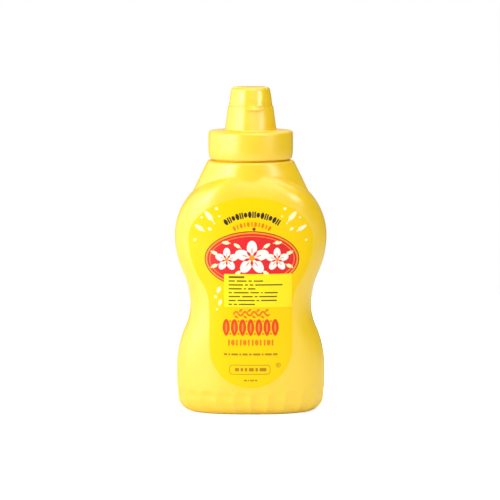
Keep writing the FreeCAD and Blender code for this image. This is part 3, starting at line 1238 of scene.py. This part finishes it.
@dataclass
class FrontPrint(Print):
    """The films on the front: the label, its print, and the sticker with its lines."""

    medallion_centre: Point = (0.6 * MM, 77.0 * MM)
    medallion_width: float = 46.0 * MM
    medallion_height: float = 27.5 * MM
    arc_centre: Point = (0.6 * MM, 75.6 * MM)
    dark_arc_radius: float = 23.2 * MM
    orange_arc_radius: float = 18.5 * MM
    star_centre: Point = (1.6 * MM, 91.7 * MM)
    sticker_centre: Point = (3.5 * MM, 61.7 * MM)
    sticker_width: float = 32.8 * MM
    sticker_height: float = 16.2 * MM
    sticker_thickness: float = 0.10 * MM
    vine_height: float = 50.4 * MM
    lozenge_height: float = 43.6 * MM
    broad_dash_height: float = 36.2 * MM

    def medallion(self) -> None:
        """Prints the oval medallion: outline, rim, field, inner line and a sprig in blossom."""
        centre = self.medallion_centre
        width, height = self.medallion_width, self.medallion_height
        layers = (
            ("medallion_outline", 0.0, DEEP_RED_INK),
            ("medallion_rim", 0.9 * MM, GOLD_INK),
            ("medallion_field", 2.6 * MM, RED_INK),
        )
        for level, (name, inset, ink) in enumerate(layers, 1):
            art = Artwork(name)
            art.oval(centre, width - inset, height - inset, sides=72)
            self.put(art, level, ink)
        line = Artwork("medallion_inner_line")
        line.ring(centre, width - 4.6 * MM, height - 4.6 * MM, 0.35 * MM, 72)
        self.put(line, 4, GOLD_INK)
        self.blossoms(centre)

    def blossoms(self, centre: Point) -> None:
        """Prints the white sprig: a large blossom between two small ones, with leaves."""
        petals = Artwork("blossom_petals")
        folds = Artwork("blossom_folds")
        hearts = Artwork("blossom_hearts")
        leaves = Artwork("sprig_leaves")
        for across, up, size in ((0.0, 0.6, 1.0), (-12.2, -0.2, 0.68), (12.2, -0.2, 0.68)):
            middle = (centre[0] + across * MM, centre[1] + up * MM)
            reach = 4.7 * MM * size
            for turn in range(0, 360, 72):
                petal = on_circle(middle, reach, turn)
                petals.leaf(petal, 7.6 * MM * size, 5.0 * MM * size, turn, 0.4)
                fold = on_circle(middle, 0.72 * reach, turn)
                folds.leaf(fold, 3.2 * MM * size, 0.7 * MM * size, turn, 0.5)
            hearts.oval(middle, 2.7 * MM * size, 2.7 * MM * size)
        sprays = (
            (6.9, 6.4, 58), (6.6, -6.6, 124), (18.0, 2.9, 66), (18.0, -3.3, 116), (12.3, 8.0, 84),
        )
        for side in (-1, 1):
            for across, up, turn in sprays:
                spot = (centre[0] + side * across * MM, centre[1] + up * MM)
                leaves.leaf(spot, 4.4 * MM, 1.7 * MM, side * turn, 0.3)
        self.put(petals, 4, WHITE_INK)
        self.put(leaves, 4, CREAM_INK)
        self.put(folds, 5, PALE_RED_INK)
        self.put(hearts, 5, GOLD_INK)

    def spread(self, count: int, degrees: float) -> List[float]:
        """Spreads turns evenly to both sides of the top."""
        return [-degrees / 2 + degrees * index / (count - 1) for index in range(count)]

    def arcs(self) -> None:
        """Prints the dark arc of lozenges, bars and ovals, the orange arc under it and a star."""
        strokes = Artwork("arc_strokes")
        centre, radius = self.arc_centre, self.dark_arc_radius
        for index, turn in enumerate(self.spread(14, 66.0)):
            if index % 3 == 0:
                strokes.leaf(on_circle(centre, radius, turn), 3.3 * MM, 1.75 * MM, turn, 0.9)
            elif index % 3 == 1:
                for aside in (-1.3, 1.3):
                    spot = on_circle(centre, radius, turn + aside)
                    strokes.bar(spot, 0.72 * MM, 3.1 * MM, turn, 0.25)
            else:
                strokes.oval(on_circle(centre, radius, turn), 1.7 * MM, 2.5 * MM, turn)
        self.put(strokes, 1, DARK_INK)
        beads = Artwork("arc_beads")
        for index, turn in enumerate(self.spread(11, 55.0)):
            spot = on_circle(centre, self.orange_arc_radius, turn)
            if index % 2:
                beads.bar(spot, 0.7 * MM, 2.3 * MM, turn, 0.25)
            else:
                beads.leaf(spot, 2.6 * MM, 1.4 * MM, turn, 0.9)
        self.put(beads, 1, ORANGE_INK)
        star = Artwork("crest_star")
        for turn in range(0, 180, 45):
            star.leaf(self.star_centre, 1.9 * MM, 0.55 * MM, turn, 0.9)
        self.put(star, 1, DEEP_RED_INK)

    def seeds(self) -> None:
        """Prints the pale petals and seeds that are scattered round the medallion."""
        seeds = Artwork("scattered_petals")
        # Each is (across, up, width, turn, length as a share of the width).
        paired = (
            (16.6, 101.6, 1.4, 18, 1.2), (20.0, 97.6, 2.3, 40, 2.9), (15.2, 97.9, 1.0, 0, 1.0),
            (24.6, 91.8, 2.0, 58, 2.9), (23.8, 97.2, 1.1, 40, 1.1), (19.8, 91.6, 1.3, 52, 1.8),
            (27.0, 86.0, 1.2, 80, 1.2), (17.6, 94.4, 0.9, 20, 1.0),
        )
        low = (
            (-15.6, 61.8, 1.7, 24, 2.2), (-17.0, 58.4, 1.3, -30, 1.2),
            (-14.9, 55.6, 1.5, 16, 2.3), (-16.4, 52.2, 1.0, 0, 1.0),
        )
        for side, spots in ((-1, paired), (1, paired), (1, low)):
            for across, up, size, turn, long in spots:
                spot = (side * across * MM, up * MM)
                seeds.leaf(spot, long * size * MM, size * MM, side * turn, 0.4)
        self.put(seeds, 1, CREAM_INK)

    def sticker(self) -> None:
        """Lays the sticker and prints its lines of short dashes."""
        art = Artwork("sticker_film")
        centre = self.sticker_centre
        art.bar(centre, self.sticker_width, self.sticker_height, 0.0, 0.02)
        ink_top = self.ink_step * 5
        lift = self.label_lift + ink_top + self.sticker_thickness
        thickness = self.sticker_thickness + ink_top
        piece = self.film(art, STICKER_FILM, lift, thickness, "sticker_film")
        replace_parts(piece, "sticker")
        lines = Artwork("sticker_lines")
        left = centre[0] - self.sticker_width / 2 + 2.2 * MM
        top = centre[1] + self.sticker_height / 2 - 1.5 * MM
        rows = (
            (7.6,), (3.0, 4.8, 1.6, 4.6), (7.0, 1.4, 1.8, 13.2), (6.4, 1.2, 3.6),
            (1.6, 7.2, 4.2, 0.8, 6.4), (5.6, 5.2, 1.4, 8.6), (3.4, 8.4, 1.2, 7.6), (1.6, 1.6, 7.8),
        )
        for index, lengths in enumerate(rows):
            start = left
            thick = 0.9 if index == 0 else 0.62
            for length in lengths:
                spot = (start + length * MM / 2, top - 1.9 * MM * index)
                lines.bar(spot, length * MM, thick * MM)
                start += (length + 0.9) * MM
        self.put(lines, 1, GREY_INK, "sticker_film", ink_top + self.sticker_thickness)

    def vine(self) -> None:
        """Prints the waving vine with its leaves."""
        vine = Artwork("vine_line")
        count = 36
        for index in range(count):
            across = (-8.2 + 17.0 * index / (count - 1)) * MM
            wave = math.sin(2 * math.pi * index / 9)
            spot = (across, self.vine_height + 1.0 * MM * wave)
            vine.oval(spot, 1.15 * MM, 0.95 * MM, sides=12)
        for index in range(8):
            up, tilt = (51.9, 55) if index % 2 else (48.9, 125)
            spot = ((-7.1 + 2.12 * index) * MM, up * MM)
            vine.leaf(spot, 2.5 * MM, 1.15 * MM, tilt, 0.35)
        self.put(vine, 1, ORANGE_INK)

    def lozenges(self) -> None:
        """Prints the row of lozenges, with their cores and the beads between them."""
        lozenges = Artwork("lozenge_row")
        cores = Artwork("lozenge_cores")
        between = Artwork("lozenge_beads")
        count = 7
        for index in range(count):
            across = (-11.9 + 23.8 * index / (count - 1)) * MM
            spot = (across, self.lozenge_height)
            lozenges.leaf(spot, 8.3 * MM, 3.5 * MM, 0.0, 0.85)
            cores.oval(spot, 0.75 * MM, 4.6 * MM)
            if index:
                for up in (46.7, 40.5):
                    between.bar((across - 1.98 * MM, up * MM), 1.0 * MM, 1.0 * MM, 45.0, 0.1)
        self.put(lozenges, 1, RED_ORANGE_INK)
        self.put(cores, 2, GOLD_INK)
        self.put(between, 1, ORANGE_INK)

    def foot_lines(self) -> None:
        """Prints the lines of dashes and the badge on the label's tail."""
        broad = Artwork("broad_dashes")
        for index in range(12):
            spot = ((-10.6 + 1.93 * index) * MM, self.broad_dash_height)
            if index % 3 == 1:
                broad.oval(spot, 1.8 * MM, 2.9 * MM)
            else:
                broad.bar(spot, 0.85 * MM, 3.0 * MM)
        self.put(broad, 1, ORANGE_INK)
        lengths = (1.6, 0.9, 3.2, 0.9, 2.6, 1.4, 3.6, 0.9, 3.4, 2.2)
        self.dashes("fine_dashes", 30.4, 1.0, lengths, 0.6)
        badge = Artwork("badge_outline")
        badge.frame((-0.4 * MM, 22.9 * MM), 20.0 * MM, 4.8 * MM, 0.32 * MM, 1.6 * MM)
        eye = (13.4 * MM, 25.0 * MM)
        badge.ring(eye, 2.4 * MM, 2.4 * MM, 0.28 * MM, 28)
        badge.oval(eye, 0.9 * MM, 0.9 * MM)
        self.put(badge, 1, OCHRE_INK)
        self.dashes("badge_dashes", 22.9, 1.7, (2.0, 1.2, 1.2, 2.4, 1.2, 3.4), 0.8)
        self.dashes("foot_dashes", 17.6, 0.8, (1.4, 0.6, 1.8, 1.2), 0.5)

    def dashes(
        self, name: str, up: float, height: float, lengths: Sequence[float], gap: float
    ) -> None:
        """Prints one centred line of ochre dashes.

        Args:
            name: name of the piece.
            up: height of the line, in millimetres.
            height: height of a dash, in millimetres.
            lengths: length of each dash, in millimetres.
            gap: gap between dashes, in millimetres.
        """
        art = Artwork(name)
        start = -(sum(lengths) + gap * (len(lengths) - 1)) / 2
        for length in lengths:
            art.bar(((start + length / 2) * MM, up * MM), length * MM, height * MM, 0.0, 0.25)
            start += length + gap
        self.put(art, 1, OCHRE_INK)

    def build(self) -> None:
        """Lays every film on the front."""
        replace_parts(self.label("front_label_film"), "front_label")
        self.medallion()
        self.arcs()
        self.seeds()
        self.sticker()
        self.vine()
        self.lozenges()
        self.foot_lines()


@dataclass
class BackPrint(Print):
    """The label on the back, with a plain panel of lines."""

    side: Side = Side.BACK
    blossom_centre: Point = (0.0, 90.0 * MM)
    panel_centre: Point = (0.0, 54.0 * MM)
    bars_height: float = 22.6 * MM

    def build(self) -> None:
        """Lays the label and its panel."""
        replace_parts(self.label("back_label_film"), "back_label")
        band = Artwork("back_band")
        band.oval(self.blossom_centre, 40.0 * MM, 15.0 * MM, sides=60)
        self.put(band, 1, RED_INK)
        petals = Artwork("back_blossom")
        for turn in range(45, 360, 90):
            spot = on_circle(self.blossom_centre, 2.6 * MM, turn)
            petals.leaf(spot, 4.6 * MM, 3.6 * MM, turn, 0.35)
        self.put(petals, 2, WHITE_INK)
        panel = Artwork("back_panel_frame")
        panel.frame(self.panel_centre, 33.0 * MM, 48.0 * MM, 0.35 * MM, 1.5 * MM)
        lengths = (12.0, 22.0, 9.0, 25.0, 17.0, 24.0, 11.0, 20.0, 26.0, 14.0, 23.0, 18.0, 8.0)
        for index, length in enumerate(lengths):
            spot = ((-14.0 + length / 2) * MM, (74.0 - 3.3 * index) * MM)
            panel.bar(spot, length * MM, 0.8 * MM)
        self.put(panel, 1, OCHRE_INK)
        bars = Artwork("back_upright_bars")
        for index in range(13):
            wide = 0.45 + 0.35 * (index % 3)
            bars.bar(((-7.2 + 1.2 * index) * MM, self.bars_height), wide * MM, 6.0 * MM, 0.0, 0.1)
        self.put(bars, 1, DARK_INK)


# ---------------------------------------------------------------- studio


@dataclass(frozen=True)
class Softbox:
    """A soft rectangular lamp: where it stands, where it points, its size and its watts."""

    name: str
    place: Tuple[float, float, float]
    aim: Tuple[float, float, float]
    size: Point
    power: float

    def build(self) -> None:
        """Adds the lamp."""
        deselect_all()
        place = Vector(self.place)
        bpy.ops.object.light_add(type="AREA", location=place)
        lamp = bpy.context.object
        lamp.name = self.name
        lamp.rotation_euler = (Vector(self.aim) - place).to_track_quat("-Z", "Y").to_euler()
        lamp.data.shape = "RECTANGLE"
        lamp.data.size, lamp.data.size_y = self.size
        lamp.data.energy = self.power


AXIS_HIGH = (0.0, 0.0, 0.33)
AXIS_MIDDLE = (0.0, 0.0, 0.10)
SOFTBOXES = (
    Softbox("left_softbox", (-0.72, -0.34, 0.33), AXIS_HIGH, (0.85, 0.76), 5.1),
    Softbox("left_strip", (-0.557, -0.502, 0.30), (0.0, 0.0, 0.30), (0.16, 0.30), 1.0),
    Softbox("left_fill", (-0.78, 0.38, 0.33), AXIS_HIGH, (0.8, 0.76), 1.8),
    Softbox("right_softbox", (0.61, -0.48, 0.31), (0.0, 0.0, 0.13), (0.30, 0.18), 1.3),
    Softbox("top_softbox", (0.22, -0.12, 1.15), AXIS_MIDDLE, (1.5, 1.3), 10.5),
    Softbox("back_fill", (0.0, 1.5, 1.0), AXIS_MIDDLE, (1.2, 0.8), 4.0),
    Softbox("front_fill", (0.40, -1.5, 0.95), AXIS_MIDDLE, (1.2, 0.8), 5.8),
)


@dataclass
class Studio:
    """Floor, backdrop light, lamps and camera."""

    target_height: float = 79.3 * MM
    camera_distance: float = 1.84
    camera_height: float = 0.262
    lens: float = 270.5
    sensor: float = 36.0
    shift: float = -0.0014
    floor_size: float = 1.0
    floor_shown: float = 0.62
    world_left: float = 0.36
    world_right: float = 0.07

    def camera(self) -> None:
        """Adds the camera in front of the bottle, looking slightly down."""
        deselect_all()
        place = Vector((0.0, -self.camera_distance, self.camera_height))
        bpy.ops.object.camera_add(location=place)
        camera = bpy.context.object
        camera.name = "camera"
        aim = Vector((0.0, 0.0, self.target_height)) - place
        camera.rotation_euler = aim.to_track_quat("-Z", "Y").to_euler()
        camera.data.lens = self.lens
        camera.data.sensor_width = self.sensor
        camera.data.shift_x = self.shift
        camera.data.clip_end = 50.0
        bpy.context.scene.camera = camera

    def floor(self) -> None:
        """Adds the white floor, which keeps the bottle's shadow."""
        deselect_all()
        bpy.ops.mesh.primitive_grid_add(x_subdivisions=8, y_subdivisions=8, size=self.floor_size)
        floor = bpy.context.object
        floor.name = "floor"
        material = bpy.data.materials.new("floor_white")
        material.use_nodes = True
        add = Sockets(material.node_tree)
        shader = material.node_tree.nodes["Principled BSDF"]
        shader.inputs["Base Color"].default_value = (0.8, 0.8, 0.8, 1.0)
        shader.inputs["Roughness"].default_value = 0.9
        shader.inputs["Specular IOR Level"].default_value = 0.0
        shader.inputs["Emission Color"].default_value = (1.0, 1.0, 1.0, 1.0)
        seen = add.maths("MULTIPLY", add.node("ShaderNodeLightPath").outputs["Is Camera Ray"])
        seen.inputs[1].default_value = self.floor_shown
        add.link(seen.outputs[0], shader.inputs["Emission Strength"])
        floor.data.materials.append(material)

    def world(self) -> None:
        """Sets a world that lights more from the left and shows as white."""
        world = bpy.data.worlds.new("studio_white")
        bpy.context.scene.world = world
        world.use_nodes = True
        add = Sockets(world.node_tree)
        lighting = world.node_tree.nodes["Background"]
        shown = add.node("ShaderNodeBackground")
        for background in (lighting, shown):
            background.inputs["Color"].default_value = (1.0, 1.0, 1.0, 1.0)
            background.inputs["Strength"].default_value = 1.0
        where = add.node("ShaderNodeSeparateXYZ")
        add.link(add.node("ShaderNodeTexCoord").outputs["Generated"], where.inputs[0])
        spread = add.node("ShaderNodeMapRange")
        spread.inputs["From Min"].default_value = -1.0
        spread.inputs["To Min"].default_value = self.world_left
        spread.inputs["To Max"].default_value = self.world_right
        add.link(where.outputs["X"], spread.inputs["Value"])
        add.link(spread.outputs["Result"], lighting.inputs["Strength"])
        mix = add.node("ShaderNodeMixShader")
        add.link(add.node("ShaderNodeLightPath").outputs["Is Camera Ray"], mix.inputs[0])
        add.link(lighting.outputs[0], mix.inputs[1])
        add.link(shown.outputs[0], mix.inputs[2])
        add.link(mix.outputs[0], world.node_tree.nodes["World Output"].inputs["Surface"])

    def build(self) -> None:
        """Sets up the whole studio."""
        self.camera()
        self.floor()
        self.world()
        for softbox in SOFTBOXES:
            softbox.build()
        bpy.context.scene.view_settings.view_transform = "Standard"


# ---------------------------------------------------------------- main


def main() -> None:
    """Builds the bottle's pieces in order and dresses them."""
    logging.basicConfig(level=logging.INFO, format="%(message)s")
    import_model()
    Studio().build()

    grain = make_mould_grain()
    lay_group = make_ink_lay()

    low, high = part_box("bottle")
    upper_width = high.x - low.x
    bottle = Bottle(width=upper_width, depth=high.y - low.y, rim_height=high.z)
    bottle_piece = bottle.build()
    bottle.dress(bottle_piece, BODY_PLASTIC.make(grain))
    LOG.info("bottle: %d faces", len(bottle_piece.data.polygons))

    low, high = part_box("closure")
    closure = Closure(foot=low.z, top=high.z, collar_radius=(high.x - low.x) / 2)
    closure_piece = closure.build()
    closure.dress(closure_piece, CLOSURE_PLASTIC.make(grain))
    LOG.info("closure: %d faces", len(closure_piece.data.polygons))

    low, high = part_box("lid")
    lid = Lid(low=low.z, top=high.z)
    lid_piece = lid.build()
    lid.dress(lid_piece, LID_PLASTIC.make(grain))
    LOG.info("lid: %d faces", len(lid_piece.data.polygons))

    drape = Drape(bottle_piece)
    FrontPrint(drape, lay_group).build()
    BackPrint(drape, lay_group).build()


if __name__ == "__main__":
    main()
